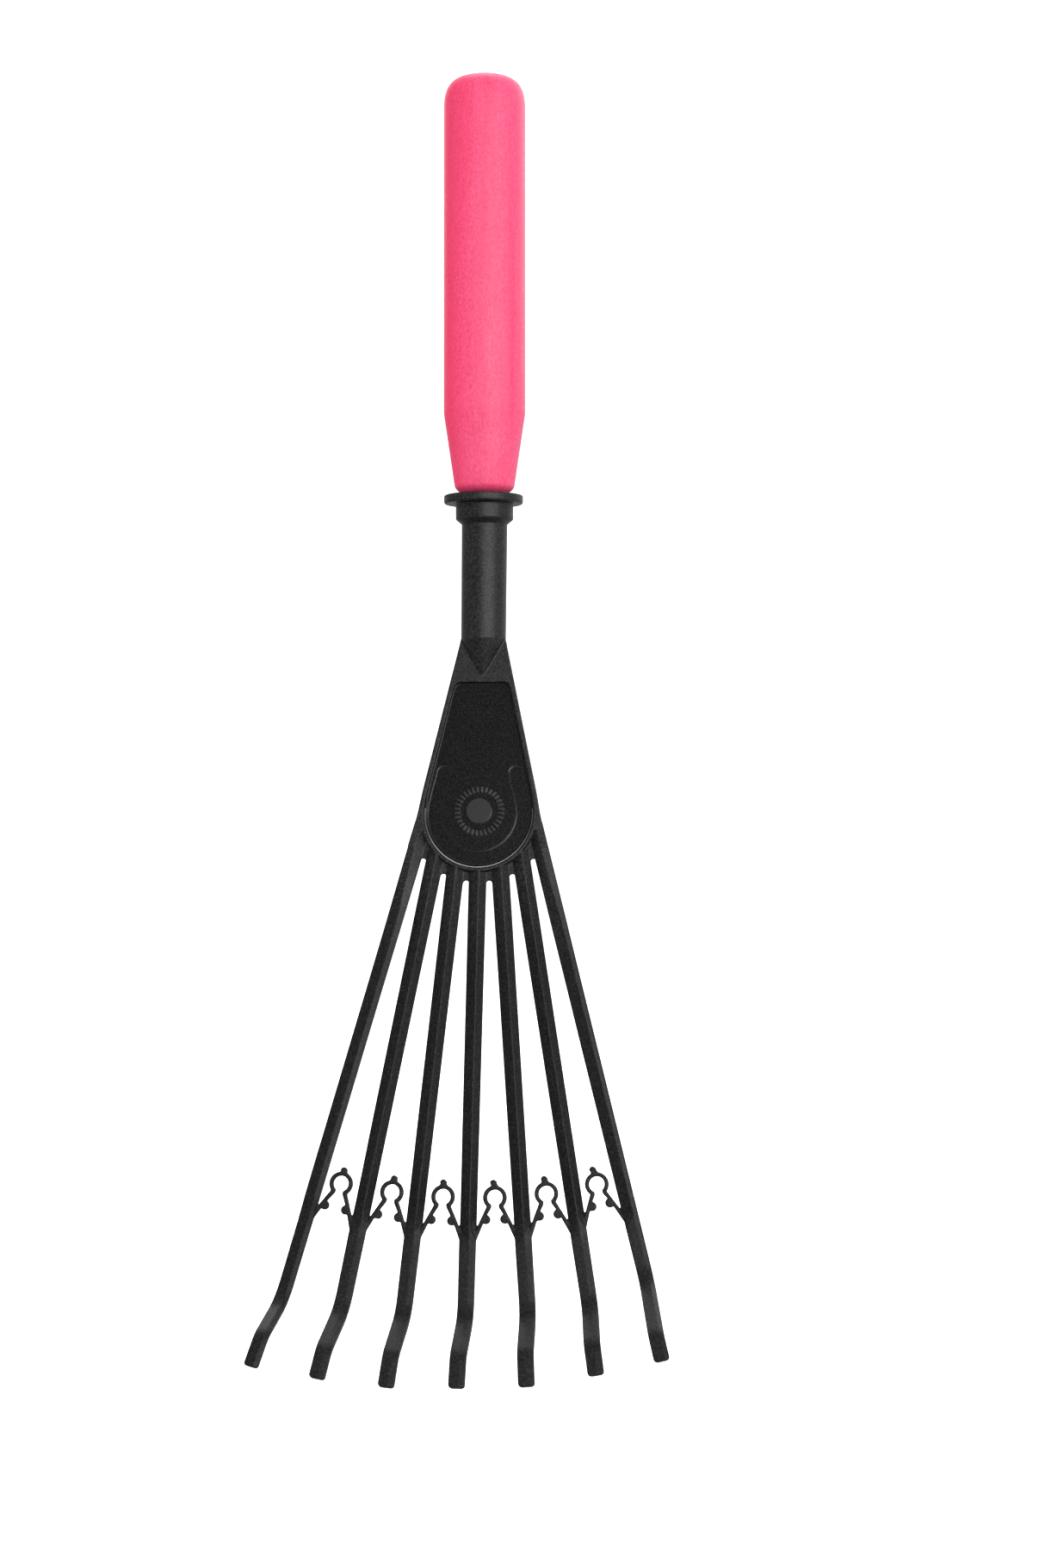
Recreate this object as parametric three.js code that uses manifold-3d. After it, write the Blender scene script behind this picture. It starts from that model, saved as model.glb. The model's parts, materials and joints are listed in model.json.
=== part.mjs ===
// Hand fan rake: a turned and dyed wooden handle, one moulded plastic head with seven tines, a
// recessed panel and six omega-shaped springs between the tines, and a retaining screw.
//
// Millimetres, +Z up. The tool stands upright, handle above and tips below. +X is to the right
// of a viewer who faces the front, and the front looks towards -Y. The origin is on the flat
// back of the plate, at the centre of its round end.
import * as THREE from "three";
import { mergeVertices } from "three/addons/utils/BufferGeometryUtils.js";
import Module from "manifold-3d";

const wasm = await Module();
wasm.setup();

const { degToRad } = THREE.MathUtils;
const point = (x, y, z) => new THREE.Vector3(x, y, z);

// ---------------------------------------------------------------- shared dimensions
const GAP = 0.3; // clearance between separate pieces
const AXIS_Y = 13.44; // the handle's axis lies behind the origin

// The plate leans forward under the handle. Positions in the plate's own frame are x to the
// right, y up the plate and z out of its front face, from the origin of the part.
const TILT = degToRad(12);
const PLATE_T = 3.6;
const APEX_Y = 69.1; // the centre lines of all tines meet this far above the origin

// Moulded flange and collar round the handle's axis.
const FLANGE_TOP = 111.09;
const FLANGE_R = 13.65;
const FLANGE_T = 2.91;
const COLLAR_R = 9.87;
const COLLAR_BOTTOM = 102.84;
const COLLAR_CHAMFER = 1.65;

// Handle's tenon and its socket.
const TENON_R = 5;
const TENON_LEN = 24;
const SOCKET_R = TENON_R + GAP;

// Retaining screw through the back of the collar.
const SCREW_Z = 105.04;
const SCREW_SEAT = 8.9; // distance of the spot face from the handle's axis
const SCREW_HEAD_R = 2.5;
const SCREW_HEAD_H = 1.6;
const SCREW_SHANK_R = 1.45;
const SCREW_SHANK_LEN = 12;

// ---------------------------------------------------------------- frames
// The head is made in the plate's own frame and turned into place by its group; FROM_PART
// carries a piece that is easier to give in the part's frame into the plate's.
const PLATE_FRAME = new THREE.Matrix4().makeBasis(
  point(1, 0, 0),
  point(0, Math.sin(TILT), Math.cos(TILT)),
  point(0, -Math.cos(TILT), Math.sin(TILT)),
);
const FROM_PART = PLATE_FRAME.clone().invert();

const axisPoint = (z) => point(0, AXIS_Y, z);
const onPlate = (x, y, z) => point(x, y, z).applyMatrix4(PLATE_FRAME);

// ---------------------------------------------------------------- solids
// Turns a closed geometry into a Manifold whose faces look outwards.
function solid(geometry, matrix) {
  const source = geometry.index ? geometry.toNonIndexed() : geometry;
  const bare = new THREE.BufferGeometry();
  bare.setAttribute("position", source.getAttribute("position").clone());
  if (matrix) bare.applyMatrix4(matrix);
  const merged = mergeVertices(bare, 1e-4);
  const vertProperties = merged.attributes.position.array;
  const triVerts = new Uint32Array(merged.index.array);
  const build = () => new wasm.Manifold(new wasm.Mesh({ numProp: 3, vertProperties, triVerts }));
  const made = build();
  if (made.volume() >= 0) return made;
  for (let i = 0; i < triVerts.length; i += 3) {
    [triVerts[i + 1], triVerts[i + 2]] = [triVerts[i + 2], triVerts[i + 1]];
  }
  return build();
}

function toGeometry(manifold) {
  const { vertProperties, triVerts } = manifold.getMesh();
  const geometry = new THREE.BufferGeometry();
  geometry.setAttribute("position", new THREE.BufferAttribute(vertProperties, 3));
  geometry.setIndex(new THREE.BufferAttribute(triVerts, 1));
  geometry.computeVertexNormals();
  return geometry;
}

// A closed skin through rings of points that all hold the same number of points.
function loft(rings) {
  const count = rings[0].length;
  const index = [];
  for (let r = 0; r + 1 < rings.length; r++) {
    for (let i = 0; i < count; i++) {
      const here = r * count + i;
      const beside = r * count + ((i + 1) % count);
      index.push(here, beside, beside + count);
      index.push(here, beside + count, here + count);
    }
  }
  const last = (rings.length - 1) * count;
  for (let i = 1; i + 1 < count; i++) {
    index.push(0, i + 1, i);
    index.push(last, last + i, last + i + 1);
  }
  const geometry = new THREE.BufferGeometry().setFromPoints(rings.flat());
  geometry.setIndex(index);
  return geometry;
}

// A flat outline in the plate's frame, from height bottom with the given thickness.
function slab(outline, bottom, thickness) {
  const shape = new THREE.Shape(outline.map(([x, y]) => new THREE.Vector2(x, y)));
  const geometry = new THREE.ExtrudeGeometry(shape, { depth: thickness, bevelEnabled: false });
  return solid(geometry.translate(0, 0, bottom));
}

// Turned round Z. The profile is [radius, height] from the axis back to the axis.
function turned(profile, segments) {
  const points = profile.map(([radius, z]) => new THREE.Vector2(radius, z));
  return new THREE.LatheGeometry(points, segments).rotateX(Math.PI / 2);
}

function rod(radius, from, to, matrix, segments = 20) {
  const direction = to.clone().sub(from).normalize();
  const turn = new THREE.Quaternion().setFromUnitVectors(point(0, 1, 0), direction);
  const middle = from.clone().add(to).multiplyScalar(0.5);
  const geometry = new THREE.CylinderGeometry(radius, radius, from.distanceTo(to), segments);
  geometry.applyQuaternion(turn).translate(middle.x, middle.y, middle.z);
  return solid(geometry, matrix);
}

// A rod on the screw's line, between two distances behind the handle's axis.
const screwRod = (radius, from, to, matrix) =>
  rod(radius, point(0, AXIS_Y + from, SCREW_Z), point(0, AXIS_Y + to, SCREW_Z), matrix);

// ---------------------------------------------------------------- outlines
// Points [x, y] on an arc, with its ends in degrees.
function arc(centreX, centreY, radius, from, to, steps) {
  const points = [];
  for (let i = 0; i <= steps; i++) {
    const angle = degToRad(from + ((to - from) * i) / steps);
    points.push([centreX + radius * Math.cos(angle), centreY + radius * Math.sin(angle)]);
  }
  return points;
}

// Down the right side of a table of [y, half width], through the bottom and up the left side.
function symmetric(side, bottom) {
  const right = side.map(([y, x]) => [x, y]);
  const left = side.map(([y, x]) => [-x, y]).reverse();
  return [...right, ...bottom, ...left];
}

// A place in the fan: degrees to the right of the middle and distance from the apex.
function fanPoint(degrees, distance) {
  const angle = degToRad(degrees);
  return [distance * Math.sin(angle), APEX_Y - distance * Math.cos(angle)];
}

// Moves an outline to a place in the fan and turns its y towards the apex.
function placeInFan(outline, degrees, distance) {
  const [centreX, centreY] = fanPoint(degrees, distance);
  const cos = Math.cos(degToRad(degrees));
  const sin = Math.sin(degToRad(degrees));
  return outline.map(([x, y]) => [centreX + x * cos - y * sin, centreY + x * sin + y * cos]);
}

// Linear interpolation in a table of [x, value], held constant beyond its ends.
function interpolate(table, x) {
  if (x <= table[0][0]) return table[0][1];
  for (let i = 1; i < table.length; i++) {
    const [x0, value0] = table[i - 1];
    const [x1, value1] = table[i];
    if (x <= x1) return value0 + ((value1 - value0) * (x - x0)) / (x1 - x0);
  }
  return table[table.length - 1][1];
}

// ---------------------------------------------------------------- head: crown and neck
const NECK_SEGMENTS = 32;
const NECK_R_TOP = 7.82;
const NECK_R_LOW = 7.67;
const NECK_TOP = COLLAR_BOTTOM - COLLAR_CHAMFER;
const NECK_BOTTOM = 61.24;
const NECK_LEAN = 2.7; // how far the neck's lower end sits in front of the handle's axis
const NECK_END = point(0, AXIS_Y - NECK_LEAN, NECK_BOTTOM);

// Round points of the tongue and the fairing, which end inside the plate.
const POINT_R = 1.0;
const POINT_DEPTH = 0.75; // below the plate's nearer face
const TONGUE_END_Y = 49.2;
const FAIRING_END_Y = 30;

function neckRing(radius, centre) {
  return Array.from({ length: NECK_SEGMENTS }, (_, i) => {
    const angle = (2 * Math.PI * i) / NECK_SEGMENTS;
    const x = centre.x + radius * Math.cos(angle);
    return point(x, centre.y + radius * Math.sin(angle), centre.z);
  });
}

// Chamfered collar with the flange on top.
function makeCrown() {
  const flangeBottom = FLANGE_TOP - FLANGE_T;
  const profile = [
    [0, NECK_TOP],
    [NECK_R_TOP + 0.05, NECK_TOP],
    [COLLAR_R, COLLAR_BOTTOM],
    [COLLAR_R, flangeBottom],
    [FLANGE_R - 0.5, flangeBottom],
    [FLANGE_R - 0.14, flangeBottom + 0.28],
    [FLANGE_R, flangeBottom + 0.7],
    [FLANGE_R, FLANGE_TOP - 0.28],
    [FLANGE_R - 0.08, FLANGE_TOP - 0.08],
    [FLANGE_R - 0.28, FLANGE_TOP],
    [0, FLANGE_TOP],
  ];
  return solid(turned(profile, 36).translate(0, AXIS_Y, 0), FROM_PART);
}

// The neck runs out below its crease in a pointed tongue on the front of the plate.
function makeNeck() {
  const rings = [
    neckRing(NECK_R_TOP, axisPoint(NECK_TOP + 1.2)),
    neckRing(NECK_R_TOP, axisPoint(NECK_TOP - 0.4)),
    neckRing(NECK_R_LOW, NECK_END),
    neckRing(POINT_R, onPlate(0, TONGUE_END_Y, PLATE_T - POINT_DEPTH)),
  ];
  return solid(loft(rings), FROM_PART);
}

// A longer point on the back, kept only behind the middle of the plate's thickness.
function makeFairing() {
  const rings = [
    neckRing(NECK_R_LOW - 0.15, NECK_END.clone().add(point(0, 0.2, 3))),
    neckRing(NECK_R_LOW - 0.03, NECK_END),
    neckRing(POINT_R, onPlate(0, FAIRING_END_Y, POINT_DEPTH)),
  ];
  const behind = new THREE.BoxGeometry(60, 90, 40).translate(0, 40, PLATE_T / 2 - 20);
  return solid(loft(rings), FROM_PART).intersect(solid(behind));
}

// ---------------------------------------------------------------- head: plate and panel
const RING_R = 20; // lower edge of the plate's round end
const PANEL_R = 18.8;
const PANEL_DEPTH = 1.1;

// Side of the plate as [y, half width], down to its lower corner and back up to the round end.
const PLATE_SIDE = [
  [62.6, 7.45], [61.5, 7.8], [59.1, 8.3], [56.6, 8.85], [51.6, 9.93], [46.7, 11.03],
  [41.8, 12.1], [32, 14.25], [22.2, 16.4], [12.5, 18.56], [7.7, 19.6], [2.9, 20.5],
  [0.5, 20.95], [-1.9, 21.5], [-4.3, 22.2], [-6.7, 22.85], [-11.5, 24.1],
  [-12.1, 21.95], [-5.6, 20.2],
];
// Side of the recessed panel as [y, half width].
const PANEL_SIDE = [
  [46.1, 9.05], [45.2, 9.55], [41.8, 10.1], [32, 12.25], [22.2, 14.4], [12.5, 16.55],
  [7, 17.7], [3, 18.5], [0, PANEL_R],
];

const makePlate = () =>
  slab(symmetric(PLATE_SIDE, arc(0, 0, RING_R, -17, -163, 28)), 0, PLATE_T);

// The recess in the front face, cut from a little above it.
function makePanelCut() {
  const outline = symmetric(PANEL_SIDE, arc(0, 0, PANEL_R, -8, -172, 28));
  return slab(outline, PLATE_T - PANEL_DEPTH, PANEL_DEPTH + 1);
}

// ---------------------------------------------------------------- head: web
const WEB_T = 1.5;
const WEB_HALF_ANGLE = 14.6;
const WEB_REACH = 93.6; // distance of the lower edge from the apex, in the middle
const WEB_RISE = 4.2; // how much nearer the apex the lower edge is at its ends
const WEB_STEPS = 12;

// Gaps between tines: angle and the distance of the gap's round top from the apex.
const SLOTS = [
  [-12.57, 86.4], [-7.46, 90.4], [-2.44, 92.0], [2.44, 92.0], [7.46, 90.4], [12.57, 86.4],
];
const SLOT_R = 1.1;
const SLOT_FLARE = 0.35; // widening of each side at the slot's open end
const SLOT_DEPTH = 9; // open end below the centre of the round top

// Thin sheet below the panel that joins the roots of the tines.
function makeWeb() {
  const outline = [[0, 0], [19.4, 0.6], [20.6, -6]];
  for (let i = 0; i <= WEB_STEPS; i++) {
    const rise = WEB_RISE * Math.abs(1 - (2 * i) / WEB_STEPS) ** 3;
    const degrees = WEB_HALF_ANGLE - (2 * WEB_HALF_ANGLE * i) / WEB_STEPS;
    outline.push(fanPoint(degrees, WEB_REACH - rise));
  }
  outline.push([-20.6, -6], [-19.4, 0.6]);

  const slot = [
    ...arc(0, 0, SLOT_R, 0, 180, 10),
    [-SLOT_R - SLOT_FLARE, -SLOT_DEPTH],
    [SLOT_R + SLOT_FLARE, -SLOT_DEPTH],
  ];
  return SLOTS.reduce(
    (web, [angle, top]) =>
      web.subtract(slab(placeInFan(slot, angle, top + SLOT_R), -1, WEB_T + 2)),
    slab(outline, 0, WEB_T),
  );
}

// ---------------------------------------------------------------- head: tines
// Left to right: angle from the middle, straight length from the apex, ramp and tip lengths.
const TINES = [
  { angle: -14.81, straight: 240.8, ramp: 19.2, tip: 10.5 },
  { angle: -9.95, straight: 239.2, ramp: 21.0, tip: 9.4 },
  { angle: -4.98, straight: 237.7, ramp: 20.8, tip: 10.2 },
  { angle: 0, straight: 237.2, ramp: 19.8, tip: 10.0 },
  { angle: 4.98, straight: 236.8, ramp: 19.8, tip: 10.3 },
  { angle: 9.95, straight: 236.6, ramp: 19.2, tip: 9.7 },
  { angle: 14.81, straight: 231.9, ramp: 29.3, tip: 7.8 },
];
const OUTER_ANGLE = 12; // tines beyond this angle have the outer section
const RAMP_ANGLE = degToRad(52.8); // forward of the plate's plane
const TIP_ANGLE = degToRad(14.3);
const RAMP_BEND = { cut: 5, steps: 5 };
const TIP_BEND = { cut: 2.2, steps: 3 };

// Distances from the apex: where a tine starts, and the sections of its straight part.
const INNER_START = 84;
const OUTER_START = 72;
const STATIONS = [94, 103, 112, 148, 184, 191, 206, 213];

// Tables of [distance along the tine from the apex, value]: widths, then the heights of the
// ridge and of the side edges above the back face.
const INNER_WIDTH = [
  [84, 5.9], [103, 5.85], [130, 5.7], [156, 5.6], [182, 5.48], [212, 5.35], [232, 5.15],
  [300, 5.0],
];
const OUTER_WIDTH = [
  [60, 5.3], [107, 5.25], [134, 5.13], [161, 5.1], [188, 5.0], [220, 4.85], [232, 4.75],
  [300, 4.95],
];
const RIDGE_HEIGHT = [
  [60, 3.6], [94, 3.6], [112, 3.4], [184, 3.3], [191, 3.5], [206, 3.5], [213, 2.9], [300, 2.8],
];
const EDGE_HEIGHT = [
  [60, 1.4], [94, 1.4], [112, 1.3], [184, 1.35], [191, 1.15], [206, 1.15], [213, 2.5],
  [300, 2.45],
];
// Narrowing at the tip: [distance before the end, cut from the half width].
const TIP_END = [[0.8, 0], [0.25, 0.3], [0, 0.7]];

const BACK_CHAMFER = 0.45;
const RIDGE_HALF = 0.35; // half width of an inner tine's flat ridge
const OUTER_CHAMFER = 0.25; // front corner on the outer side of an outer tine
const OUTER_RIDGE_X = 0.1; // inner end of an outer tine's flat ridge

// A rounded corner between two straight runs.
function bend(before, corner, after, { cut, steps }) {
  const from = corner.clone().add(before.clone().sub(corner).setLength(cut));
  const to = corner.clone().add(after.clone().sub(corner).setLength(cut));
  return new THREE.QuadraticBezierCurve(from, corner, to).getPoints(steps);
}

// The tine's centre line in its own plane square to the plate: [distance along, height].
function tinePath({ straight, ramp, tip }, start) {
  const advance = (from, angle, length) => {
    const step = new THREE.Vector2(Math.cos(angle), Math.sin(angle)).multiplyScalar(length);
    return from.clone().add(step);
  };
  const stations = [start, ...STATIONS].map((distance) => new THREE.Vector2(distance, 0));
  const rampStart = new THREE.Vector2(straight, 0);
  const rampEnd = advance(rampStart, RAMP_ANGLE, ramp);
  const tipEnd = advance(rampEnd, TIP_ANGLE, tip);
  const tipDirection = tipEnd.clone().sub(rampEnd).normalize();
  return [
    ...stations,
    ...bend(stations.at(-1), rampStart, rampEnd, RAMP_BEND),
    ...bend(rampStart, rampEnd, tipEnd, TIP_BEND),
    ...TIP_END.map(([back]) => tipEnd.clone().addScaledVector(tipDirection, -back)),
  ];
}

// Cross-section as [x across, z above the back face]; side is -1 left, 1 right.
function tineSection(half, ridge, edge, outer, side) {
  const back = [
    [-half + BACK_CHAMFER, 0],
    [half - BACK_CHAMFER, 0],
    [half, BACK_CHAMFER],
  ];
  const innerSide = [[-half, edge], [-half, BACK_CHAMFER]];
  if (!outer) {
    return [...back, [half, edge], [RIDGE_HALF, ridge], [-RIDGE_HALF, ridge], ...innerSide];
  }
  const section = [
    ...back,
    [half, ridge - OUTER_CHAMFER],
    [half - OUTER_CHAMFER, ridge],
    [OUTER_RIDGE_X, ridge],
    ...innerSide,
  ].map(([x, z]) => [x * side, z]);
  return side < 0 ? section.reverse() : section;
}

function makeTine(spec) {
  const outer = Math.abs(spec.angle) > OUTER_ANGLE;
  const angle = degToRad(spec.angle);
  const along = point(Math.sin(angle), -Math.cos(angle), 0);
  const across = point(Math.cos(angle), Math.sin(angle), 0);
  const path = tinePath(spec, outer ? OUTER_START : INNER_START);
  const directions = path.slice(1).map((end, i) => end.clone().sub(path[i]).normalize());
  let run = path[0].x;
  const rings = path.map((centre, i) => {
    if (i) run += centre.distanceTo(path[i - 1]);
    // Each section is mitred between the runs on its two sides.
    const arriving = directions[Math.max(0, i - 1)];
    const leaving = directions[Math.min(i, directions.length - 1)];
    const direction = arriving.clone().add(leaving).normalize();
    const stretch = 1 / Math.max(0.8, direction.dot(leaving));
    const trim = TIP_END[i - path.length + TIP_END.length]?.[1] ?? 0;
    const half = interpolate(outer ? OUTER_WIDTH : INNER_WIDTH, run) / 2 - trim;
    const ridge = interpolate(RIDGE_HEIGHT, run);
    const edge = interpolate(EDGE_HEIGHT, run);
    return tineSection(half, ridge, edge, outer, Math.sign(spec.angle)).map(([x, z]) => {
      const lift = (z - PLATE_T / 2) * stretch;
      return point(0, APEX_Y, 0)
        .addScaledVector(along, centre.x - direction.y * lift)
        .addScaledVector(across, x)
        .setZ(centre.y + PLATE_T / 2 + direction.x * lift);
    });
  });
  return solid(loft(rings));
}

// ---------------------------------------------------------------- head: springs
// Left to right: angle and distance of the ring's centre from the apex, the centre of the
// stub's round end, and how far below the ring's centre the two pips sit.
const SPRINGS = [
  { angle: -12.48, distance: 199.40, stub: [-0.1, 4.4], pip: 8.1 },
  { angle: -7.48, distance: 198.91, stub: [0.1, 4.5], pip: 7.85 },
  { angle: -2.5, distance: 198.58, stub: [-0.2, 4.6], pip: 7.7 },
  { angle: 2.5, distance: 198.55, stub: [-0.4, 4.75], pip: 7.1 },
  { angle: 7.46, distance: 198.46, stub: [-0.2, 4.75], pip: 7.0 },
  { angle: 12.37, distance: 197.98, stub: [-0.4, 4.85], pip: 6.8 },
];
const SPRING_R = 3.8;
const WIRE = 0.9;
const STUB_R = 0.98;
const STUB_CORNER = 0.71 * STUB_R; // across and up to the facet corner of its round end
const PIP_R = 1.38;
const SPRING_Z = 0.25;
const SPRING_T = 1.9;

// One omega between two tines: a ring open below, a straight leg to each tine, two pips inside
// the legs and a stub on top, all in one outline. x is across, y is towards the apex.
function makeSpring({ angle, distance, stub: [stubX, stubY], pip }) {
  // The pip is centred a little inside the leg's inner edge.
  const pipX = 1.32 + 0.489 * (pip - 3.3);
  // From the side of the stub down the outside to the leg's end, then back up the inside.
  const half = (side) => {
    const lean = side * stubX;
    return [
      [lean + STUB_CORNER, stubY + STUB_CORNER],
      [lean + STUB_R, stubY],
      [STUB_R + 0.05, SPRING_R - 0.12],
      ...arc(0, 0, SPRING_R, 62, -46, 9),
      [2.55, -3.25], [8.05, -14.15], [7.15, -14.6],
      ...arc(pipX, -pip, PIP_R, -53, -255, 6),
      [1.62, -3.2], [1.45, -2.51],
      ...arc(0, 0, SPRING_R - WIRE, -56, 90, 11),
    ].map(([x, y]) => [x * side, y]);
  };
  // Both halves end at the top of the ring's inside, so the left one drops that point.
  const left = half(-1).slice(0, -1).reverse();
  const outline = [[stubX, stubY + STUB_R], ...half(1), ...left];
  return slab(placeInFan(outline, angle, distance), SPRING_Z, SPRING_T);
}

// ---------------------------------------------------------------- head: one moulding
function makeHead() {
  const past = 20; // the screw's holes run out behind the collar
  const socketFloor = axisPoint(FLANGE_TOP - TENON_LEN - GAP);
  return wasm.Manifold.union([
    makePlate(), makeCrown(), makeNeck(), makeFairing(), makeWeb(),
    ...TINES.map(makeTine),
    ...SPRINGS.map(makeSpring),
  ])
    .subtract(makePanelCut())
    .subtract(rod(SOCKET_R, socketFloor, axisPoint(FLANGE_TOP + 5), FROM_PART, 28))
    .subtract(screwRod(SCREW_SHANK_R + GAP, 0, past, FROM_PART))
    .subtract(screwRod(SCREW_HEAD_R + GAP, SCREW_SEAT, past, FROM_PART));
}

// ---------------------------------------------------------------- handle
const HANDLE_R = 14.12;
const HANDLE_LEN = 145.35; // without the tenon
const TAPER_LEN = 28.5;

// [radius, height above the handle's shoulder]: tenon, rounded foot and taper.
const HANDLE_FOOT = [
  [0, -TENON_LEN], [TENON_R - 0.6, -TENON_LEN], [TENON_R, -TENON_LEN + 0.8], [TENON_R, 0],
  [6.4, 0], [7.4, 0.4], [8.3, 0.85], [9.1, 1.35], [9.7, 1.9], [10.1, 2.45], [10.3, 3.0],
  [10.48, 3.9], [11.3, 9.3], [12.2, 15.4], [13.1, 21.4], [13.7, 25.4],
  [14.02, TAPER_LEN - 0.9], [HANDLE_R, TAPER_LEN + 1],
];
// [radius, depth below the handle's top].
const HANDLE_DOME = [
  [HANDLE_R, 11], [14.04, 9], [13.82, 7], [13.37, 5.2], [12.75, 3.8], [11.9, 2.6],
  [10.74, 1.6], [9.41, 0.9], [7.72, 0.4], [5.4, 0.12], [0, 0],
];

function makeHandle() {
  const shoulder = FLANGE_TOP + GAP;
  const top = shoulder + HANDLE_LEN;
  const profile = [
    ...HANDLE_FOOT.map(([radius, height]) => [radius, shoulder + height]),
    ...HANDLE_DOME.map(([radius, depth]) => [radius, top - depth]),
  ];
  // The screw's hole in the tenon, cut from outside its surface.
  const pilot = screwRod(SCREW_SHANK_R + GAP, SCREW_SEAT - SCREW_SHANK_LEN, 8);
  return solid(turned(profile, 40).translate(0, AXIS_Y, 0)).subtract(pilot);
}

// ---------------------------------------------------------------- screw
const RECESS = { length: 2.7, width: 0.62, height: 1.4 }; // each bar of the cross recess

// Turned along its own axis with the head upwards; its group lays it down.
function makeScrew() {
  const profile = [
    [0, -SCREW_SHANK_LEN], [SCREW_SHANK_R, -SCREW_SHANK_LEN + 2.2],
    [SCREW_SHANK_R, 0], [SCREW_HEAD_R, 0],
    [SCREW_HEAD_R, 0.55], [2.15, 1.15], [1.3, 1.5], [0, SCREW_HEAD_H],
  ];
  let screw = solid(turned(profile, 24));
  for (const turn of [0, Math.PI / 2]) {
    const bar = new THREE.BoxGeometry(RECESS.length, RECESS.width, RECESS.height);
    screw = screw.subtract(solid(bar.rotateZ(turn).translate(0, 0, SCREW_HEAD_H)));
  }
  return screw;
}

// ---------------------------------------------------------------- materials
const material = (color, roughness, metalness) =>
  new THREE.MeshStandardMaterial({ color, roughness, metalness });
const BLACK_PLASTIC = { color: 0x1d1d1e, roughness: 0.55, metalness: 0 };
const DYED_WOOD = { color: 0xf06a8e, roughness: 0.6, metalness: 0 };
const STEEL = { color: 0xb9bcc0, roughness: 0.35, metalness: 1 };

// ---------------------------------------------------------------- scene graph
function makeMesh(name, manifold, { color, roughness, metalness }) {
  const mesh = new THREE.Mesh(toGeometry(manifold), material(color, roughness, metalness));
  mesh.name = name;
  return mesh;
}

const headFrame = new THREE.Group();
headFrame.quaternion.setFromRotationMatrix(PLATE_FRAME);
headFrame.add(makeMesh("rake_head", makeHead(), BLACK_PLASTIC));

// The screw's head looks backwards.
const screwSeat = new THREE.Group();
screwSeat.position.set(0, AXIS_Y + SCREW_SEAT + GAP, SCREW_Z);
screwSeat.rotation.x = -Math.PI / 2;
screwSeat.add(makeMesh("handle_screw", makeScrew(), STEEL));

const rake = new THREE.Group();
rake.add(headFrame);
rake.add(makeMesh("wooden_handle", makeHandle(), DYED_WOOD));
rake.add(screwSeat);

export default rake;
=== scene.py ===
"""Hand fan rake on a white sweep: a dyed wooden handle in a moulded black plastic head.

The handle stands along +Z, the rake's front faces -Y and the screw goes in from the back (+Y).
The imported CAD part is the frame. The head, the handle and the screw are built here as fine
meshes in the same places, in millimetres, and are scaled to metres at the end."""
import json
import math

import bmesh
import bpy
import numpy as np
from mathutils import Matrix, Vector


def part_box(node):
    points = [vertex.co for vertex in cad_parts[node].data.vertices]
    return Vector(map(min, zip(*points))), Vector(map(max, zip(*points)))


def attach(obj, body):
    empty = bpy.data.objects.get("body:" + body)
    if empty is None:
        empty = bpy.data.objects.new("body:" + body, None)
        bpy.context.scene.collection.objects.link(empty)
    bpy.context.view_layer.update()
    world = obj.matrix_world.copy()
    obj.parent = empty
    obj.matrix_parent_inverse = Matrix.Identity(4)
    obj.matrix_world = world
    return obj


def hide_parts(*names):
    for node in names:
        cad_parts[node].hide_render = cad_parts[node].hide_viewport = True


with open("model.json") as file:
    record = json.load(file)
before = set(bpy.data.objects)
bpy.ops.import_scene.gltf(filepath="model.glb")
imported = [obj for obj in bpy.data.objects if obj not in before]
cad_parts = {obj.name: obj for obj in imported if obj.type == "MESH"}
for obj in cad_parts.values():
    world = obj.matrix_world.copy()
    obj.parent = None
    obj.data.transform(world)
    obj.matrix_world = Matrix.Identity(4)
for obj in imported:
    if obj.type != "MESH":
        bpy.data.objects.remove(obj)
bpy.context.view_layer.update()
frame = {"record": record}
scene = bpy.context.scene
MM = 0.001

# ------------------------------------------------------------------ the frame, from the part
# Plate frame: x to the right, y up the plate (UP), z out of its front (OUT), 0 at its back face.
mount = next(m for m in frame["record"]["mounts"] if m["name"] == "plate_back")
ORIGIN = Vector(mount["pos_m"])
OUT = -Vector(mount["axis"]).normalized()  # the mount's axis points out of the plate's back
UP = Vector((0.0, OUT.z, -OUT.y))
if UP.z < 0:
    UP = -UP
PLATE = Matrix(
    (
        (1, UP.x, OUT.x, ORIGIN.x),
        (0, UP.y, OUT.y, ORIGIN.y),
        (0, UP.z, OUT.z, ORIGIN.z),
        (0, 0, 0, 1),
    )
)
INTO_PLATE = np.array(PLATE.inverted())
OUT_OF_PLATE = np.array(PLATE)

handle_lo, handle_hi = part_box("wooden_handle")
_, head_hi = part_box("rake_head")
screw_lo, screw_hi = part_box("handle_screw")
AXIS_Y = (handle_lo.y + handle_hi.y) / 2 / MM
FLANGE_TOP = head_hi.z / MM
HANDLE_TOP = handle_hi.z / MM
SCREW_Z = (screw_lo.z + screw_hi.z) / 2 / MM
SCREW_BACK = screw_hi.y / MM
SCREW_HOLE_R = 1.75


# Each of these takes rows of x, y, z in millimetres.
def to_plate(points):
    """World millimetres into the plate's frame."""
    return (np.asarray(points, float) * MM) @ INTO_PLATE[:3, :3].T / MM + INTO_PLATE[:3, 3] / MM


def from_plate(x, y, z):
    return OUT_OF_PLATE[:3, :3] @ np.array([x, y, z]) + OUT_OF_PLATE[:3, 3] / MM


def on_handle_axis(points):
    points = points.copy()
    points[:, 1] += AXIS_Y
    return points


def on_screw_axis(points, seat=0.0):
    """Turns z to point backwards along the screw, from `seat` behind the handle's axis."""
    x, y, z = points.T
    return np.stack([x, z + AXIS_Y + seat, y + SCREW_Z], 1)


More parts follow.
